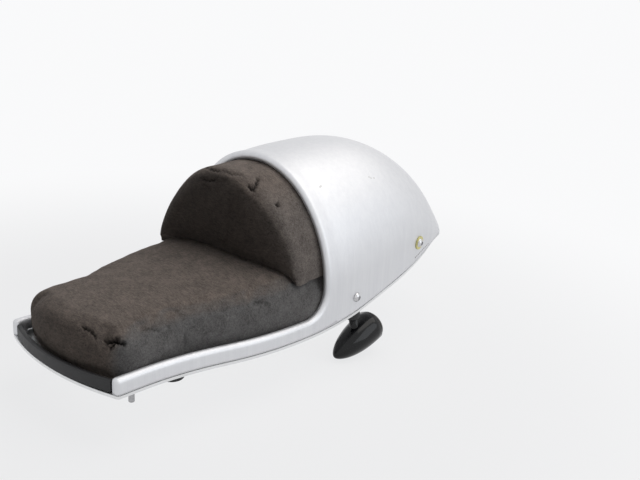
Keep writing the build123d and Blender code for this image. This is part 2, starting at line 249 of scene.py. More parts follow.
def soft_lamp(name, place, watts, colour):
    """Square area lamp at place, turned so that its minus Z points at the seat's middle."""
    data = bpy.data.lights.new(name, "AREA")
    data.size, data.energy, data.color = SOFTBOX_SIZE, watts, colour
    back = np.array(place) - np.array(SEAT_MIDDLE)
    back = back / np.linalg.norm(back)
    side = np.cross([0.0, 1.0, 0.0], back)
    side /= np.linalg.norm(side)
    stand(new_object(name, data), side, np.cross(back, side), back, place)


for name, settings in SOFTBOXES.items():
    soft_lamp(name, *settings)
print("lamps:", *SOFTBOXES)

# %% [markdown]
# ## Tail cowl: the arches
# The cowl is beaten from aluminium sheet. Its shape follows nine arches that lean back more
# and more towards the tail. Each arch is an upright post, a side arc and a crown arc that
# run into each other smoothly. A mesh of the solid would show flat strips along the
# outline, so the skin is worked out again here, fine and smooth.

# %% Arches of the cowl, in millimetres
RIM_X, RIM_HALF, BEAD_R, RIM_DEEP = -130.0, 113.0, 5.0, 12.0
JOIN_X = RIM_X - BEAD_R - RIM_DEEP
PLATE_UNDER, EDGE_ABOVE, SKIRT = 6.0, 3.6, 5.0
ARCHES = np.array([
    # foot behind rim, half width, crown behind rim, crown height
    (0.0, 113.0, 0.0, 171.2), (33.0, 112.85, 36.0, 172.9), (64.0, 111.9, 72.0, 174.2),
    (104.0, 109.0, 120.0, 172.6), (148.0, 103.6, 172.0, 157.6), (180.0, 96.2, 216.0, 129.0),
    (200.0, 89.0, 247.5, 95.5), (211.0, 83.8, 264.0, 75.5), (218.0, 80.0, 272.0, 54.0)])
print("arches:", len(ARCHES))

# %% The base line under the cowl
KICK_AHEAD, KICK_R, KICK = 33.0, 400.0, np.radians(13.0)
KICK_X = RIM_X + KICK_AHEAD


def above_base(x, z):
    """Distance above the base line: straight, then an arc, then a straight kicked-up tail."""
    back, down = KICK_X - x, PLATE_UNDER + KICK_R - z
    turn = np.arctan2(back, down)
    tail = KICK_R - back * np.sin(KICK) - down * np.cos(KICK)
    arc = KICK_R - np.hypot(back, down)
    return np.where(turn < 0, KICK_R - down, np.where(turn > KICK, tail, arc))


def base_line(x):
    """Height of the base line under x: level, then circle, then slope."""
    back = np.maximum(KICK_X - x, 0.0)
    bend = np.minimum(back, KICK_R * np.sin(KICK))
    return (PLATE_UNDER + KICK_R - np.sqrt(KICK_R**2 - bend**2)
            + (back - bend) * np.tan(KICK))


foot, half, crown_back, crown_up = ARCHES.T
arch_x = np.minimum(RIM_X - foot, JOIN_X)
arch_low = base_line(RIM_X - foot) - SKIRT
arch_lean = np.arctan2(crown_back - foot, PLATE_UNDER + crown_up - arch_low)
arch_tall = np.hypot(crown_back - foot, PLATE_UNDER + crown_up - arch_low)
print("the last arch leans back by", round(np.degrees(arch_lean[-1])), "degrees")

# %% One arch
SPRING = 0.29
POST_END, SIDE_END = 0.25, 0.60


def flat_arch(w, half, tall):
    """Sideways and upward place on an arch, w from foot (0) to crown (1).

    Up the post to the spring height, round the side circle by 45 degrees, then round the
    crown circle, which shares the side circle's tangent there and tops out at full height.
    """
    spring = SPRING * tall
    rise = tall - spring
    side = rise + (rise - half) / np.sqrt(2.0)
    middle = half - side
    crown = side + np.sqrt(2.0) * middle
    turn = np.radians(45.0) * np.where(
        w < SIDE_END, (w - POST_END) / (SIDE_END - POST_END), 1 + (w - SIDE_END) / (1 - SIDE_END))
    across = np.where(w < POST_END, half, np.where(
        w < SIDE_END, middle + side * np.cos(turn), crown * np.cos(turn)))
    upward = np.where(w < POST_END, spring * w / POST_END, np.where(
        w < SIDE_END, spring + side * np.sin(turn), spring - middle + crown * np.sin(turn)))
    return across, upward


print("crown of the first arch:", flat_arch(np.ones(1), half[0], arch_tall[0])[1].round(1), "mm")

# %% Smoothly through all arches


def spline_weights(knots, t):
    """Share of each knot in a smooth cubic through all knots, one row for each t.

    The slopes are found so that bending is the same on both sides of every knot, and at both
    ends the curve runs out straight.
    """
    n, step = len(knots), np.diff(knots)
    lhs, rhs = np.zeros((n, n)), np.zeros((n, n))
    inner = np.arange(1, n - 1)
    lhs[inner, inner - 1], lhs[inner, inner + 1] = 1 / step[:-1], 1 / step[1:]
    lhs[inner, inner] = 2 / step[:-1] + 2 / step[1:]
    rhs[inner, inner - 1] = -3 / step[:-1] ** 2
    rhs[inner, inner + 1] = 3 / step[1:] ** 2
    rhs[inner, inner] = 3 / step[:-1] ** 2 - 3 / step[1:] ** 2
    lhs[0, 0], lhs[0, 1], rhs[0, 0], rhs[0, 1] = 2, 1, -3 / step[0], 3 / step[0]
    lhs[-1, -1], lhs[-1, -2], rhs[-1, -1], rhs[-1, -2] = 2, 1, 3 / step[-1], -3 / step[-1]
    slope = np.linalg.solve(lhs, rhs)
    k = np.clip(np.searchsorted(knots, t, "right") - 1, 0, n - 2)
    s = ((t - knots[k]) / step[k])[:, None]
    eye = np.eye(n)
    return ((1 + 2 * s) * (1 - s) ** 2 * eye[k] + s**2 * (3 - 2 * s) * eye[k + 1]
            + step[k][:, None] * (s * (1 - s) ** 2 * slope[k] + s**2 * (s - 1) * slope[k + 1]))


crown_x = arch_x - arch_tall * np.sin(arch_lean)
crown_z = arch_low + arch_tall * np.cos(arch_lean)
knots = np.concatenate([[0.0], np.cumsum(np.hypot(np.diff(crown_x), np.diff(crown_z)))])


def cowl_skin(t, w):
    """Outer skin in millimetres: arch points at w, drawn through the arches by the spline.

    t is one value a row, the way along the crown; w is an array with a row for each t.
    """
    across, upward = flat_arch(w[:, :, None], half, arch_tall)
    share = spline_weights(knots, t)[:, None, :]
    x = (share * (arch_x - upward * np.sin(arch_lean))).sum(-1)
    z = (share * (arch_low + upward * np.cos(arch_lean))).sum(-1)
    return np.stack([x, (share * across).sum(-1), z], -1)


print("cowl is", round(knots[-1]), "mm long over its crown")

# %% [markdown]
# ## Tail cowl: rolled edge
# Along strips, coves and rim the sheet is rolled inwards into a bead. One section is drawn
# once, sheet and bead, and carried along the edge: back along the strip, round the waist's
# two arcs, up the cove, up the rim's post and over the arch. Below the bead the sheet
# reaches to the cowl's lower edge, or behind the rim to the line where the hump starts.
# Each path gives its line, the directions outwards and upwards, and the sheet's reach.

# %% The path along the left strip, from the front
FRONT_X, FRONT_HALF, STRIP_TOP = 116.0, 89.0, 19.5
WAIST_FRONT_X, WAIST_BACK_X, COVE_R = 90.0, -90.0, 27.0
STRIP_Z = PLATE_UNDER + STRIP_TOP - BEAD_R
LOWER_Z = PLATE_UNDER + EDGE_ABOVE
COVE_X, COVE_Z = RIM_X + COVE_R, PLATE_UNDER + STRIP_TOP + COVE_R
STRIP_POINTS = 120


def strip_path(count):
    """Strip seen from above: straight, two equal arcs of opposite turn, straight again."""
    dx, dy = WAIST_FRONT_X - WAIST_BACK_X, RIM_HALF - FRONT_HALF
    r = (dx * dx + dy * dy) / (4 * dy)
    x = np.linspace(FRONT_X, COVE_X, count)
    ahead_of = np.clip(WAIST_FRONT_X - x, 0, dx / 2)
    behind = np.clip(x - WAIST_BACK_X, 0, dx / 2)
    on_first = x > (WAIST_FRONT_X + WAIST_BACK_X) / 2
    y = np.where(on_first, FRONT_HALF + r - np.sqrt(r * r - ahead_of**2),
                 RIM_HALF - r + np.sqrt(r * r - behind**2))
    lean = np.arcsin(np.where(on_first, ahead_of, behind) / r)
    flat = np.zeros_like(x)
    line = np.stack([x, y, flat + STRIP_Z], -1)
    out = np.stack([np.sin(lean), np.cos(lean), flat], -1)
    rise = np.stack([flat, flat, flat + 1], -1)
    return line, out, rise, flat + STRIP_Z - LOWER_Z


strip = strip_path(STRIP_POINTS)
print("strip ends at", strip[0][-1].round(1), "mm")

# %% The path round the cove
TURN_R = COVE_R + BEAD_R
COVE_LOW_POINTS, COVE_JOIN_POINTS = 16, 22


def cove_path(low_count, post_count):
    """Cove seen from the side: rays from its centre reach the lower edge, then the join.

    The far ends are laid out first, along the lower edge and up the join line; the path is
    where the rays to them cross the cove's circle.
    """
    low_x = np.linspace(COVE_X, JOIN_X, low_count)[1:]
    corner_z = base_line(np.array(JOIN_X)) + EDGE_ABOVE
    far_z = np.concatenate([base_line(low_x) + EDGE_ABOVE,
                            np.linspace(corner_z, COVE_Z, post_count)[1:]])
    far_x = np.concatenate([low_x, np.full(post_count - 1, JOIN_X)])
    ray = np.stack([far_x - COVE_X, 0 * far_x, far_z - COVE_Z], -1)
    far = np.linalg.norm(ray, axis=1)
    ray /= far[:, None]
    line = np.array([COVE_X, RIM_HALF, COVE_Z]) + TURN_R * ray
    return line, np.tile([0.0, 1.0, 0.0], (len(line), 1)), -ray, far - TURN_R


cove = cove_path(COVE_LOW_POINTS, COVE_JOIN_POINTS)
print("cove ends at", cove[0][-1].round(1), "mm")

# %% The path up the rim to its crown
RIM_LOW = base_line(np.array(RIM_X)) - SKIRT
RIM_TALL = PLATE_UNDER + ARCHES[0, 3] - RIM_LOW
BEAD_X = RIM_X - BEAD_R
RIM_POST_POINTS, RIM_ARCH_POINTS = 8, 84
W_STEP = 1e-5


def rim_path(post_count, arch_count):
    """Rim in its own upright plane: up the post from the cove's top, then over the arch.

    The direction along the arch comes from the points a small step before and after.
    """
    w = np.concatenate([
        np.linspace((COVE_Z - RIM_LOW) / (SPRING * RIM_TALL) * POST_END, POST_END, post_count)[1:],
        np.linspace(POST_END, 1.0, arch_count)[1:]])
    across, upward = flat_arch(w, RIM_HALF, RIM_TALL)
    ahead_w = flat_arch(w + W_STEP, RIM_HALF, RIM_TALL)
    behind_w = flat_arch(w - W_STEP, RIM_HALF, RIM_TALL)
    run = np.stack([0 * w, ahead_w[0] - behind_w[0], ahead_w[1] - behind_w[1]], -1)
    run /= np.linalg.norm(run, axis=1)[:, None]
    line = np.stack([np.full_like(w, BEAD_X), across, RIM_LOW + upward], -1)
    out = np.stack([0 * w, run[:, 2], -run[:, 1]], -1)
    return line, out, np.tile([1.0, 0.0, 0.0], (len(w), 1)), np.full_like(w, RIM_DEEP), w


*rim, rim_w = rim_path(RIM_POST_POINTS, RIM_ARCH_POINTS)
whole_path = [np.concatenate(part) for part in zip(strip, cove, rim)]
print("points along half the edge:", len(whole_path[0]))

# %% [markdown]
# ## Tail cowl: one skin
# The section runs up the sheet, over the bead and a little way back under it. Near the
# front the strip's end is closed: the section stops rolling under, goes straight down, and
# shrinks inwards along a quarter circle until it ends in a flat cap. The hump takes its
# first row from the section's last points, so both grids share that line and are welded.
# A Solidify modifier then gives the skin the thickness of the sheet, inwards.

# %% Section of the rolled edge
# sheet and tuck have equal steps, so that they meet point by point in the closed end's cap
SKIRT_STEPS, BEAD_STEPS, TUCK_STEPS = 5, 16, 5
TUCK_END = 1.22 * np.pi


def edge_section(skirt, closed):
    """Section points (outwards, upwards) for every path point, from low edge to tuck.

    The sheet climbs by its skirt, the bead turns half a circle over its centre, and the
    tuck turns on by another 40 degrees, or drops straight down where the end is closed.
    """
    climb = -skirt[:, None] * np.linspace(1, 0, SKIRT_STEPS + 1)[None, :]
    over = np.linspace(0, np.pi, BEAD_STEPS + 1)[1:]
    under = np.linspace(np.pi, TUCK_END, TUCK_STEPS + 1)[1:]
    n = len(skirt)
    turn = np.concatenate([over, under])
    a = np.tile(BEAD_R * (np.cos(turn) - 1), (n, 1))
    b = np.tile(BEAD_R * np.sin(turn), (n, 1))
    down = np.linspace(0, 1, TUCK_STEPS + 1)[1:]
    a[:, BEAD_STEPS:] = np.where(closed[:, None], -2 * BEAD_R, a[:, BEAD_STEPS:])
    b[:, BEAD_STEPS:] = np.where(closed[:, None], -skirt[:, None] * down, b[:, BEAD_STEPS:])
    return np.concatenate([0 * climb, a], 1), np.concatenate([climb, b], 1)


print("steps round the section:", SKIRT_STEPS + BEAD_STEPS + TUCK_STEPS)

# %% The rolled edge with its closed front end
END_BLOCK, END_R, END_STEPS = 12.0, 3.5, 6


def edge_points(line, out, rise, skirt):
    """Left half of the rolled edge: path + outwards * section + upwards * section.

    In front stand copies of the first section, drawn in towards the strip's middle by a
    quarter circle; the very first is drawn in fully and makes the cap.
    """
    closed = line[:, 0] > FRONT_X - END_BLOCK
    a, b = edge_section(skirt, closed)
    points = line[:, None] + out[:, None] * a[..., None] + rise[:, None] * b[..., None]
    turn = np.linspace(np.pi / 2, 0, END_STEPS + 1)
    inset = np.concatenate([[BEAD_R], END_R * (1 - np.cos(turn))])
    forward = np.concatenate([[0.0], END_R * (np.sin(turn) - 1)])
    first = points[:1].repeat(len(inset), 0)
    side = first[..., 1] - (FRONT_HALF - BEAD_R)
    top = first[..., 2] - STRIP_Z
    keep = 1 - inset[:, None] / BEAD_R
    first[..., 0] = FRONT_X + forward[:, None]
    first[..., 1] = FRONT_HALF - BEAD_R + side * keep
    first[..., 2] = STRIP_Z + np.where(top > 0, top * keep, top)
    back = points[:, 0, 0] < FRONT_X - END_R
    return np.concatenate([first, points[back]])


edge = edge_points(*whole_path)
print("rolled edge:", edge.shape[0], "x", edge.shape[1], "points")

# %% The hump behind the join
HUMP_ROWS, ROW_DRAW = 84, 1.35
FINE_W, FINE_T = 1500, 3000
CLOSE = 1e-6

on_join = edge[:, 0, 0] < JOIN_X + CLOSE
join_z = edge[on_join, 0, 2]
cove_on_join = (join_z - RIM_LOW) / (SPRING * RIM_TALL) * POST_END
w_first = np.where(join_z < RIM_LOW + SPRING * RIM_TALL - CLOSE, cove_on_join, 0.0)
w_first[len(w_first) - len(rim_w):] = rim_w


def hump_points(w_first):
    """Left half of the hump: rows along the crown, each from lower edge to crown.

    Where an arch crosses the lower edge is found on a fine scale of w, and the row's own w
    then runs from there to 1. The rows draw together towards the tail, where they close.
    """
    fine = np.linspace(0.0, 1.0, FINE_W)
    t_try = np.linspace(knots[-2], knots[-1], FINE_T)
    crown = cowl_skin(t_try, np.ones((FINE_T, 1)))[:, 0]
    t_end = np.interp(-EDGE_ABOVE, -above_base(crown[:, 0], crown[:, 2]), t_try)
    t = t_end * (1 - (1 - np.linspace(0, 1, HUMP_ROWS)) ** ROW_DRAW)
    rows = cowl_skin(t, np.tile(fine, (HUMP_ROWS, 1)))
    over = above_base(rows[..., 0], rows[..., 2]) - EDGE_ABOVE
    k = np.clip(np.argmax(over > 0, axis=1), 1, None)
    r = np.arange(HUMP_ROWS)
    cut = fine[k] - over[r, k] / (over[r, k] - over[r, k - 1]) * (fine[k] - fine[k - 1])
    cut[0], cut[-1] = w_first[0], 1.0
    v = (w_first - w_first[0]) / (1 - w_first[0])
    return cowl_skin(t, cut[:, None] + (1 - cut[:, None]) * v[None, :])


hump = hump_points(w_first).transpose(1, 0, 2)
print("hump:", hump.shape[0], "x", hump.shape[1], "points")

# %% Weld edge and hump
SHEET = 2.0
WELD_GAP, FLAT_EDGE = 2e-5, 1e-6


def both_sides(left):
    """Left half, then its mirror image backwards, without the crown line twice."""
    return np.concatenate([left, (left * [1, -1, 1])[-2::-1]])


def welded(name, grids):
    """One mesh from several grids in millimetres; points that coincide become one."""
    points = np.concatenate([g.reshape(-1, 3) for g in grids])
    starts = np.cumsum([0] + [g.shape[0] * g.shape[1] for g in grids])
    faces = np.concatenate([grid_faces(*g.shape[:2]) + s for g, s in zip(grids, starts)])
    mesh = bpy.data.meshes.new(name)
    mesh.from_pydata(points * MM, [], faces)
    work = bmesh.new()
    work.from_mesh(mesh)
    bmesh.ops.remove_doubles(work, verts=work.verts, dist=WELD_GAP)
    bmesh.ops.dissolve_degenerate(work, edges=work.edges, dist=FLAT_EDGE)
    work.to_mesh(mesh)
    work.free()
    mesh.polygons.foreach_set("use_smooth", np.ones(len(mesh.polygons), bool))
    mesh.update()
    return mesh


cowl = new_object("tail_cowl_skin", welded("tail_cowl_skin", [
    both_sides(edge), both_sides(hump)[:, ::-1]]))
wall = cowl.modifiers.new("sheet thickness", "SOLIDIFY")
wall.thickness, wall.offset = SHEET * MM, -1.0
print("cowl skin:", len(cowl.data.vertices), "points,", len(cowl.data.polygons), "faces")

# %% [markdown]
# ## Brushed aluminium
# The cowl is bare aluminium, rubbed by hand to a satin. Fine scratches run up and down, so
# the noise is squeezed sideways and stretched in height; it changes roughness and bump, not
# the shape. A slow second noise stands for the faint waves that beating leaves. Two specks
# are grey spots; the frayed slit at the tail's end is not cut but is a dark line of painted
# shade where its gap would be. Both are found on the skin through the picture.

# %% Node helpers
EVEN = (1.0, 1.0, 1.0)


def material(name):
    """New node material; gives back the material, its nodes, its linker and its shader."""
    made = bpy.data.materials.new(name)
    made.use_nodes = True
    n = made.node_tree.nodes
    return made, n, made.node_tree.links.new, n["Principled BSDF"]


def noise(n, link, scale, size, detail=4.0, rough=0.55):
    """Noise on Object coordinates, its cells stretched by a Mapping scale."""
    where = n.new("ShaderNodeTexCoord")
    stretch = n.new("ShaderNodeMapping")
    socket_values(stretch, Scale=scale)
    link(where.outputs["Object"], stretch.inputs["Vector"])
    made = n.new("ShaderNodeTexNoise")
    socket_values(made, Scale=size, Detail=detail, Roughness=rough)
    link(stretch.outputs[0], made.inputs["Vector"])
    return made.outputs[0]


def ramp(n, link, factor, stops):
    """Colour ramp between two stops, each a place and a colour (or a grey value)."""
    made = n.new("ShaderNodeValToRGB")
    for stop, (spot, colour) in zip(made.color_ramp.elements, stops):
        stop.position = spot
        stop.color = (colour,) * 3 + (1.0,) if isinstance(colour, float) else (*colour, 1.0)
    link(factor, made.inputs[0])
    return made.outputs[0]


def bump(n, link, height, strength, distance, below=None):
    """Bump from a height, on top of another bump where one is given."""
    made = n.new("ShaderNodeBump")
    socket_values(made, Strength=strength, Distance=distance)
    link(height, made.inputs["Height"])
    if below is not None:
        link(below, made.inputs["Normal"])
    return made.outputs[0]


# %% Specks and a slit
COWL_SPECKS = [(320, 187), (321, 186), (369, 177), (371, 178), (374, 178)]
TAIL_SLIT = np.linspace((415.5, 257.4), (428.0, 243.8), 10)
SPECK_R, SLIT_R, SPOT_CORE = 1.2 * MM, 1.3 * MM, 0.4
# the slit's colour is painted shade: the slit is not cut in the sheet, a dark line stands for its
# gap
SPECK_GREY, SLIT_SHADE = (0.42, 0.41, 0.40), (0.10, 0.08, 0.07)


def spots(n, link, places, size):
    """Grey value that is 1 in the core of each place and falls to 0 at the given distance."""
    where = n.new("ShaderNodeTexCoord")
    value = None
    for place in places:
        gap = n.new("ShaderNodeVectorMath")
        gap.operation = "DISTANCE"
        gap.inputs[1].default_value = place
        link(where.outputs["Object"], gap.inputs[0])
        near = n.new("ShaderNodeMapRange")
        socket_values(near, From_Min=size, From_Max=SPOT_CORE * size)
        link(gap.outputs["Value"], near.inputs["Value"])
        if value is not None:
            most = n.new("ShaderNodeMath")
            most.operation = "MAXIMUM"
            link(value, most.inputs[0])
            link(near.outputs["Result"], most.inputs[1])
            near = most
        value = near.outputs[0]
    return value


def covered(n, link, share, under, over):
    """Colour that turns from one to another by a grey value; the second may be a constant."""
    mix = n.new("ShaderNodeMix")
    mix.data_type = "RGBA"
    link(share, mix.inputs[0])
    link(under, mix.inputs[6])
    if isinstance(over, tuple):
        mix.inputs[7].default_value = (*over, 1.0)
    else:
        link(over, mix.inputs[7])
    return mix.outputs[2]


cowl_specks_and_slit_shade = [([from_picture(cowl, spot) for spot in COWL_SPECKS], SPECK_R, SPECK_GREY),
              ([from_picture(cowl, spot) for spot in TAIL_SLIT], SLIT_R, SLIT_SHADE)]
print("dark spots:", len(COWL_SPECKS), "in two specks,", len(TAIL_SLIT), "along the slit")

# %% Finishes of metal
RUB_SHARE, RUB_DARK_AT, RUB_LIGHT_AT = 0.22, 0.3, 0.7
FINE_AT, COARSE_AT, FINER, COARSER = 0.25, 0.75, 0.07, 0.09


def brushed_metal(name, colour, darker, rough, brush, marks=()):
    """Satin metal: streaks along one direction in colour, roughness and bump, slow waves below."""
    made, n, link, shader = material(name)
    streak = noise(n, link, brush, size=1.0, detail=6.0, rough=0.65)
    rubbed = noise(n, link, [RUB_SHARE * b for b in brush], size=1.0, detail=5.0, rough=0.6)
    tone = ramp(n, link, rubbed, [(RUB_DARK_AT, darker), (RUB_LIGHT_AT, colour)])
    for places, size, dark in marks:
        tone = covered(n, link, spots(n, link, places, size), tone, dark)
    link(tone, shader.inputs["Base Color"])
    link(ramp(n, link, streak, [(FINE_AT, rough - FINER), (COARSE_AT, rough + COARSER)]),
         shader.inputs["Roughness"])
    beaten = noise(n, link, EVEN, size=26.0, detail=2.0)
    waves = bump(n, link, beaten, strength=0.10, distance=0.002)
    link(bump(n, link, streak, strength=0.07, distance=0.0004, below=waves),
         shader.inputs["Normal"])
    socket_values(shader, Metallic=1.0)
    return made


cowl_metal = brushed_metal("cowl_brushed_aluminium", (0.685, 0.69, 0.705), (0.645, 0.65, 0.67),
                           rough=0.54, brush=(900.0, 900.0, 45.0), marks=cowl_specks_and_slit_shade)
plate_metal = brushed_metal("plate_satin_aluminium", (0.78, 0.785, 0.79), (0.70, 0.705, 0.71),
                            rough=0.40, brush=(60.0, 900.0, 900.0))
cowl.data.materials.append(cowl_metal)
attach(cowl, "root")
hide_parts("tail_cowl")
print("metal finishes:", cowl_metal.name, plate_metal.name)

# %% [markdown]
# ## Cushions
# Seat and back pad are foam under tight suede. A solid's faces are too exact for that, so
# each cushion starts as a copy of its solid, is remeshed to even quads, drawn in a little
# and blown up softly by the cloth solver. How far a point may travel is capped, so the pad
# keeps its place between the strips and inside the rim.

# %% Points in and out of a mesh


def points_of(mesh):
    """Vertex positions as an array."""
    flat = np.empty(len(mesh.vertices) * 3)
    mesh.vertices.foreach_get("co", flat)
    return flat.reshape(-1, 3)


def normals_of(mesh):
    """Vertex normals as an array."""
    flat = np.empty(len(mesh.vertices) * 3)
    mesh.vertex_normals.foreach_get("vector", flat)
    return flat.reshape(-1, 3)


def put_points(mesh, points):
    """Writes vertex positions back."""
    mesh.vertices.foreach_set("co", points.ravel())
    mesh.update()


def apply_modifiers(piece):
    """Replaces a piece's mesh by what its modifiers make of it."""
    graph = bpy.context.evaluated_depsgraph_get()
    done = bpy.data.meshes.new_from_object(piece.evaluated_get(graph))
    piece.modifiers.clear()
    piece.data = done


# %% Blow up the cushions
VOXEL, MERGE_GAP, LEAST_WAY = 3.2 * MM, 1e-5, 1e-9
PRESSURE, CLOTH_MASS, CLOTH_STEPS = 4.0, 0.3, 20


def blown_up(piece, travel):
    """Lets the cloth solver press the mesh outwards, each point by the given way at most."""
    start = points_of(piece.data)
    cloth = piece.modifiers.new("stuffing", "CLOTH")
    cloth.settings.use_pressure = True
    cloth.settings.uniform_pressure_force = PRESSURE
    cloth.settings.effector_weights.gravity = 0.0
    cloth.settings.mass = CLOTH_MASS
    cloth.point_cache.frame_start, cloth.point_cache.frame_end = 1, CLOTH_STEPS
    for step in range(1, CLOTH_STEPS + 1):
        scene.frame_set(step)
    apply_modifiers(piece)
    scene.frame_set(1)
    move = points_of(piece.data) - start
    far = np.linalg.norm(move, axis=1, keepdims=True)
    move *= np.minimum(1.0, travel / np.maximum(far, LEAST_WAY))
    put_points(piece.data, start + move)


def stuffed(name, node, drawn_in, travel):
    """Copy of a cushion's solid: merged, remeshed, drawn in, blown up and smoothed."""
    piece = new_object(name, nodes[node].data.copy())
    piece.data.materials.clear()
    work = bmesh.new()
    work.from_mesh(piece.data)
    bmesh.ops.remove_doubles(work, verts=work.verts, dist=MERGE_GAP)
    work.to_mesh(piece.data)
    work.free()
    even = piece.modifiers.new("even quads", "REMESH")
    even.mode, even.voxel_size = "VOXEL", VOXEL
    apply_modifiers(piece)
    put_points(piece.data, points_of(piece.data) - drawn_in * normals_of(piece.data))
    blown_up(piece, travel)
    round_off = piece.modifiers.new("finer", "SUBSURF")
    round_off.levels = round_off.render_levels = 1
    apply_modifiers(piece)
    piece.data.polygons.foreach_set("use_smooth", np.ones(len(piece.data.polygons), bool))
    return piece


seat = stuffed("seat_cushion", "seat_pad", drawn_in=1.0 * MM, travel=4.0 * MM)
bolster = stuffed("back_cushion", "back_pad", drawn_in=0.4 * MM, travel=2.0 * MM)
print("cushions:", len(seat.data.polygons), "and", len(bolster.data.polygons), "faces")

# %% [markdown]
# ## The back pad settles
# The back pad is held by the rim only, so its free front has sagged: the left lower corner has
# sunk back and the right one stands forward. Its foot lies on the seat's rounded shoulders,
# and round the rim it presses against the rolled edge. A few smooth shifts of all points at
# once do this, and unlike strokes of a sculpting brush they can be read and changed.

# %% Settle the back pad
SEAT_HALF, SHOULDER_R, SHOULDER_SHARE = 102.0, 17.0, 0.95
LEFT_LOW, LEFT_HIGH, RIGHT_LOW, RIGHT_HIGH = -17.0, -11.0, 7.0, -3.0
PRESS, PRESS_START_X, PRESS_FULL_X = 0.6, -100.0, -120.0
SAG_TOP_Z, SAG_SPAN, PAD_DEEP = 140.0, 65.0, 56.0
SAG_START_Y, SAG_FULL_Y = 20.0, 95.0
FOOT_TOP_Z, FOOT_SPAN, FOOT_SHARE = 95.0, 25.0, 0.85


def ease(value, start, end):
    """Smooth step from 0 at start to 1 at end."""
    t = np.clip((value - start) / (end - start), 0.0, 1.0)
    return t * t * (3.0 - 2.0 * t)


def settled(piece):
    """Moves the front by shares of a few millimetres and bends the foot over the shoulders.

    The shift grows from nothing at the rim to its full size at the front face, and from the
    middle to the sides. The foot drops by as much as a circle of the shoulder's radius does.
    """
    points = points_of(piece.data) / MM
    pressed = PRESS * ease(points[:, 0], PRESS_START_X, PRESS_FULL_X)
    points += normals_of(piece.data) * pressed[:, None]
    x, y, z = points.T
    low = np.clip((SAG_TOP_Z - z) / SAG_SPAN, 0.0, 1.0)
    shift = (ease(y, SAG_START_Y, SAG_FULL_Y) * (LEFT_HIGH + (LEFT_LOW - LEFT_HIGH) * low)
             + ease(-y, SAG_START_Y, SAG_FULL_Y) * (RIGHT_HIGH + (RIGHT_LOW - RIGHT_HIGH) * low))
    beyond = np.clip(np.abs(y) - SEAT_HALF + SHOULDER_R, 0.0, SHOULDER_SHARE * SHOULDER_R)
    drop = SHOULDER_R - np.sqrt(SHOULDER_R**2 - beyond**2)
    points[:, 0] += shift * np.clip((x - RIM_X) / PAD_DEEP, 0.0, 1.0)
    points[:, 2] -= FOOT_SHARE * drop * np.clip((FOOT_TOP_Z - z) / FOOT_SPAN, 0.0, 1.0)
    put_points(piece.data, points * MM)
    return shift


shift = settled(bolster)
print("back pad moved by", round(shift.min(), 1), "to", round(shift.max(), 1), "mm")

# %% [markdown]
# ## Wear and painted shade
# The cover is old. Creases, tears and a hole are pressed into the cushions along short lines.
# Each line is written down as it lies in the picture, in pixels: every point of the cushion
# that faces the camera is carried into the picture too, and what lies close to a line sinks.
# How near a crease or tear a point lies is kept with the mesh, so that the suede gets painted
# shade there. So is the back pad's front: it faces forward, away from the lamps, and its nap
# lies the other way, so it gets painted shade too. The flanks get a darker, greyer painted shade.

# %% Lines of creases and tears
SEAT_MARKS = [
    # line in the picture, half width in pixels, depth in millimetres, darkness of painted shade
    ([(106, 343), (113, 341), (118, 343), (124, 344)], 1.9, 5.0, 1.0),
    ([(110, 348), (114, 343), (117, 339)], 1.6, 4.0, 1.0),
    ([(83, 328), (90, 331), (95, 337)], 1.3, 2.0, 0.8),
    ([(143, 330), (151, 329), (158, 331)], 1.2, 1.2, 0.45),
    ([(254, 303), (262, 302), (269, 305)], 1.2, 1.2, 0.45)]
BACK_MARKS = [
    ([(205, 166), (212, 170), (219, 171)], 1.4, 1.6, 0.8),
    ([(223, 171), (231, 174), (242, 175)], 1.3, 1.0, 0.5),
    ([(202, 179), (209, 181), (214, 180)], 1.4, 1.8, 0.9),
    ([(218, 182), (226, 181)], 1.2, 1.0, 0.5),
    ([(206, 186), (212, 190)], 1.2, 1.0, 0.5),
    ([(249, 187), (252, 190), (255, 187), (258, 179)], 1.5, 3.0, 1.0),
    ([(277, 204), (278, 206)], 1.5, 3.0, 1.0),
    ([(241, 192), (233, 205), (228, 225), (227, 243)], 1.4, 0.8, 0.3)]
print("marks:", len(SEAT_MARKS), "on the seat and", len(BACK_MARKS), "on the back pad")

# %% Press them in
FRAY, FRAY_WAVE = 0.8, 1.7
FRONT_SHADE_START, FRONT_SHADE_FULL = 0.6, 0.84
FLANK_SHADE_START, FLANK_SHADE_FULL = 0.40, 0.85
COUNTS_AS_DARK = 0.5


def near_line(seen, path):
    """Distance of pixel places from a bent line: the least of those to its straight pieces."""
    start, run = path[:-1], np.diff(path, axis=0)
    along = ((seen[:, None] - start) * run).sum(-1) / (run**2).sum(-1)
    nearest = start + np.clip(along, 0.0, 1.0)[..., None] * run
    return np.linalg.norm(seen[:, None] - nearest, axis=-1).min(1)


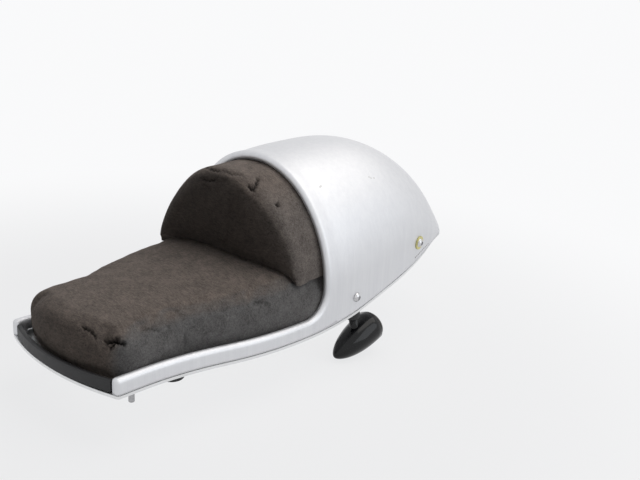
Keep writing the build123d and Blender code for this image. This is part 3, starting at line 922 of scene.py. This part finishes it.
def worn_and_shaded(piece, marks, front_shade, side):
    """Sinks points by depth times exp(-(distance / width) squared), and keeps the share.

    A short wave in both directions frays the lines. The share, times darkness, is kept as
    painted shade in creases and tears. The painted shade of faces that look forward, away from
    the lamps, starts at the given front share, not at 0. How far a face looks sideways, times
    side, is kept as well, as painted shade for the flanks.
    """
    mesh = piece.data
    points, normals = points_of(mesh), normals_of(mesh)
    facing = (normals * (CAMERA_PLACE - points)).sum(1) > 0
    seen = to_picture(points)
    seen += FRAY * np.sin(seen[:, ::-1] * FRAY_WAVE)
    # painted shade: faces that look forward, away from the lamps behind, are darkened
    shade_of_wear_and_front = front_shade * ease(normals[:, 0], FRONT_SHADE_START, FRONT_SHADE_FULL)
    for path, width, depth, dark in marks:
        share = facing * np.exp(-(near_line(seen, np.array(path, float)) / width) ** 2)
        points -= normals * (share * depth * MM)[:, None]
        # painted shade in the creases and tears, as dark as each line's darkness
        shade_of_wear_and_front = np.maximum(shade_of_wear_and_front, share * dark)
    put_points(mesh, points)
    # painted shade: the flanks, which get less light than the top, are marked for a darker, greyer
    # colour
    flank_shade = side * ease(np.abs(normals[:, 1]), FLANK_SHADE_START, FLANK_SHADE_FULL)
    for name, values in (("shade_of_wear_and_front", shade_of_wear_and_front), ("flank_shade", flank_shade)):
        mesh.attributes.new(name, "FLOAT", "POINT").data.foreach_set("value", values)
    return (shade_of_wear_and_front > COUNTS_AS_DARK).sum()


# painted shade: none on the seat's front, some on the back pad's forward-facing front; the side
# share darkens the flanks
print("dark points on the seat:", worn_and_shaded(seat, SEAT_MARKS, front_shade=0.0, side=1.0))
print("dark points on the back pad:", worn_and_shaded(bolster, BACK_MARKS, front_shade=0.52, side=0.4))

# %% [markdown]
# ## Suede
# Suede has no shine: its nap scatters light and shows as soft brighter and darker patches
# where it was stroked. Noise of three sizes gives worn patches, fine streaks across the seat
# and the nap itself, and a little sheen lights the edges. A picture of suede would do too, but
# noise has no seams and stays sharp from near.

# %% Suede
STREAKS = (620.0, 170.0, 520.0)
GRAIN_SHARE, FINE_SHARE, DARK_AT, LIGHT_AT = 0.5, 0.68, 0.38, 0.63
SHEEN_TINT = (0.75, 0.70, 0.66, 1.0)


def blend(n, link, share, first, second):
    """Mean of two grey values, with the given share of the second."""
    join = n.new("ShaderNodeMix")
    join.data_type = "FLOAT"
    join.inputs[0].default_value = share
    link(first, join.inputs[2])
    link(second, join.inputs[3])
    return join.outputs[0]


def suede(name, dark, light, shaded_flank_dark, shaded_flank_light, shade_of_wear_and_front):
    """Matt nap: patches, streaks and grain in colour, fine bump; painted shade on the flanks, in
    the tears and creases and on the back pad's front.
    """
    made, n, link, shader = material(name)
    patch = noise(n, link, EVEN, size=60.0, detail=8.0, rough=0.78)
    streak = noise(n, link, STREAKS, size=1.0, detail=4.0, rough=0.7)
    grain = noise(n, link, EVEN, size=900.0, detail=3.0, rough=0.8)
    fine = blend(n, link, GRAIN_SHARE, streak, grain)
    nap = blend(n, link, FINE_SHARE, patch, fine)
    top = ramp(n, link, nap, [(DARK_AT, dark), (LIGHT_AT, light)])
    shaded_sides = ramp(n, link, nap, [(DARK_AT, shaded_flank_dark), (LIGHT_AT, shaded_flank_light)])
    share = {}
    for kept in ("flank_shade", "shade_of_wear_and_front"):
        share[kept] = n.new("ShaderNodeAttribute")
        share[kept].attribute_name = kept
    # painted shade: the flanks take the darker, greyer copy of the nap
    whole = covered(n, link, share["flank_shade"].outputs["Fac"], top, shaded_sides)
    link(covered(n, link, share["shade_of_wear_and_front"].outputs["Fac"], whole, shade_of_wear_and_front), shader.inputs["Base Color"])
    folds = bump(n, link, patch, strength=0.3, distance=0.002)
    link(bump(n, link, fine, strength=0.7, distance=0.0009, below=folds), shader.inputs["Normal"])
    socket_values(shader, Roughness=0.95, Specular_IOR_Level=0.12, Sheen_Weight=0.2,
                  Sheen_Roughness=0.6, Sheen_Tint=SHEEN_TINT)
    return made


# the flank pair is a shaded copy of the top's colours, painted shade; the last colour is painted
# shade for creases, tears and the back pad's front
seat_suede = suede("seat_suede", dark=(0.070, 0.057, 0.050), light=(0.315, 0.258, 0.218),
                   shaded_flank_dark=(0.058, 0.055, 0.053), shaded_flank_light=(0.225, 0.218, 0.212),
                   shade_of_wear_and_front=(0.006, 0.005, 0.005))
for piece, node in ((seat, "seat_pad"), (bolster, "back_pad")):
    piece.data.materials.append(seat_suede)
    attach(piece, "root")
    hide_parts(node)
print("suede on seat and back")

# %% [markdown]
# ## Indicators
# Each indicator is a bullet that hangs on a short stem: a turned body with a round nose and a
# domed lens behind. The solid's mesh would show its facets in the gloss, so both are profiles
# turned round the nose line, fine enough to mirror the studio smoothly.

# %% Profiles of the indicators, in millimetres
LAMP_R, LAMP_LEN, LENS_DEEP = 18.0, 63.0, 9.0
BACK_EDGE, BARREL, LENS_STEP = 0.8, 7.0, 1.2
NOSE_BEND, NOSE_FULL = 2.1, 0.62
TURN_POINTS, BULLET_POINTS, DOME_POINTS = 65, 40, 16


def turned(radius, along, start, axis):
    """Profile turned round a line: start + axis * along + (one * cos + other * sin) * radius."""
    one = np.cross(axis, [0.0, 1.0, 0.0])
    other = np.cross(axis, one)
    turn = np.linspace(2.0 * np.pi, 0.0, TURN_POINTS)
    spoke = np.cos(turn)[:, None] * one + np.sin(turn)[:, None] * other
    return start + along[:, None, None] * axis + radius[:, None, None] * spoke


def bullet(count):
    """Radius and length of the body: flat back, short cylinder, then a full round nose."""
    t = np.linspace(0.0, 1.0, count)
    nose = LAMP_R * (1.0 - t**NOSE_BEND) ** NOSE_FULL
    return (np.concatenate([[0.0, LAMP_R - BACK_EDGE, LAMP_R], nose]),
            np.concatenate([[0.0, 0.0, BACK_EDGE], BARREL + (LAMP_LEN - BARREL) * t]))


def dome(count):
    """Radius and length of the lens: flat, then a quarter ellipse from its rim to its top."""
    t = np.linspace(0.0, np.pi / 2, count)
    return (np.concatenate([[0.0], (LAMP_R - LENS_STEP) * np.cos(t)]),
            np.concatenate([[0.0], -LENS_DEEP * np.sin(t)]))


print("bullet", 2 * LAMP_R, "mm thick and", LAMP_LEN + LENS_DEEP, "mm long with its lens")

# %% Turn the indicators
LAMP_BACK, LAMP_Y, LAMP_PITCH = 55.0, 100.0, np.radians(20.0)
STEM_R, STEM_LEN, FOOT_T, STEM_AT = 5.0, 28.0, 13.0, 0.42

down = -np.array([np.sin(KICK), 0.0, np.cos(KICK)])
nose_line = np.array([np.cos(LAMP_PITCH), 0.0, -np.sin(LAMP_PITCH)])
lamps = {}
for hand, sign in (("left", 1.0), ("right", -1.0)):
    stem_x = RIM_X - LAMP_BACK
    stem_top = np.array([stem_x, sign * LAMP_Y, base_line(np.array(stem_x))])
    heart = stem_top + down * (FOOT_T + STEM_LEN)
    back = heart - nose_line * STEM_AT * LAMP_LEN
    stem = turned(np.array([0.0, STEM_R, STEM_R, 0.0]),
                  FOOT_T + np.array([0.0, 0.0, STEM_LEN, STEM_LEN]), stem_top, down)
    body = turned(*bullet(BULLET_POINTS), back, nose_line)
    lens = turned(*dome(DOME_POINTS), back, nose_line)[::-1]
    for part, name, grids in (("body", f"bullet_{hand}", [body, stem]),
                              ("lens", f"bullet_lens_{hand}", [lens])):
        lamps[f"indicator_{part}_{hand}"] = new_object(name, welded(name, grids))
print("indicator pieces:", len(lamps))

# %% [markdown]
# ## Hardware
# Plate, screws, washers, studs and buffers are hard and exact, so they keep the shape of their
# solids. All get finishes: satin plate, polished steel, yellow zinc, black rubber, gloss black
# and smoked plastic. A faint cloud of noise in each keeps it from looking like a plain fill.

# %% Hardware finishes
CLOUD_DARK_AT, CLOUD_LIGHT_AT, CLOUD_BUMP = 0.35, 0.65, 0.0003
CLOUD_FINE_AT, CLOUD_COARSE_AT = 0.3, 0.7
CLOUD_FINER, CLOUD_COARSER, LEAST_ROUGH = 0.05, 0.06, 0.03


def plain_finish(name, colour, darker, rough, metallic=0.0, size=220.0, shine=0.5):
    """Smooth finish with a little life: cloudy colour, uneven roughness, slight bump."""
    made, n, link, shader = material(name)
    cloud = noise(n, link, EVEN, size)
    link(ramp(n, link, cloud, [(CLOUD_DARK_AT, darker), (CLOUD_LIGHT_AT, colour)]),
         shader.inputs["Base Color"])
    finest, coarsest = max(rough - CLOUD_FINER, LEAST_ROUGH), rough + CLOUD_COARSER
    link(ramp(n, link, cloud, [(CLOUD_FINE_AT, finest), (CLOUD_COARSE_AT, coarsest)]),
         shader.inputs["Roughness"])
    link(bump(n, link, cloud, strength=0.15, distance=CLOUD_BUMP), shader.inputs["Normal"])
    socket_values(shader, Metallic=metallic, Specular_IOR_Level=shine)
    return made


FINISHES = {
    "base_plate": plate_metal,
    "front_edging": plain_finish(
        "edging_black", (0.016, 0.016, 0.017), (0.010, 0.010, 0.011), rough=0.55),
    "cowl_screw": plain_finish(
        "screw_steel", (0.62, 0.62, 0.63), (0.45, 0.45, 0.46), rough=0.22,
        metallic=1.0, size=400.0),
    "cowl_washer": plain_finish(
        "zinc_yellow", (0.66, 0.60, 0.24), (0.50, 0.47, 0.20), rough=0.30,
        metallic=1.0, size=500.0),
    "mount_stud": plain_finish(
        "stud_steel", (0.46, 0.46, 0.47), (0.33, 0.33, 0.34), rough=0.34,
        metallic=1.0, size=500.0),
    "rubber_buffer": plain_finish(
        "rubber_black", (0.022, 0.022, 0.023), (0.014, 0.014, 0.015), rough=0.75),
    "indicator_foot": plain_finish(
        "foot_rubber", (0.020, 0.020, 0.021), (0.013, 0.013, 0.014), rough=0.6),
    "indicator_body": plain_finish(
        "gloss_black", (0.008, 0.008, 0.009), (0.005, 0.005, 0.006), rough=0.10, shine=0.30),
    "indicator_lens": plain_finish(
        "lens_smoked", (0.020, 0.014, 0.011), (0.012, 0.009, 0.008), rough=0.10, shine=0.30),
}
print("finishes:", len(FINISHES))

# %% Put the finishes on
for name, node in nodes.items():
    for start, finish in FINISHES.items():
        if name.startswith(start):
            piece = lamps.get(name, node)
            piece.data.materials.clear()
            piece.data.materials.append(finish)
for name, piece in lamps.items():
    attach(piece, "root")
    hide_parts(name)
print("pieces with these finishes:", sum(name.startswith(tuple(FINISHES)) for name in nodes))

# %% [markdown]
# ## End

# %% End
print("all pieces dressed")
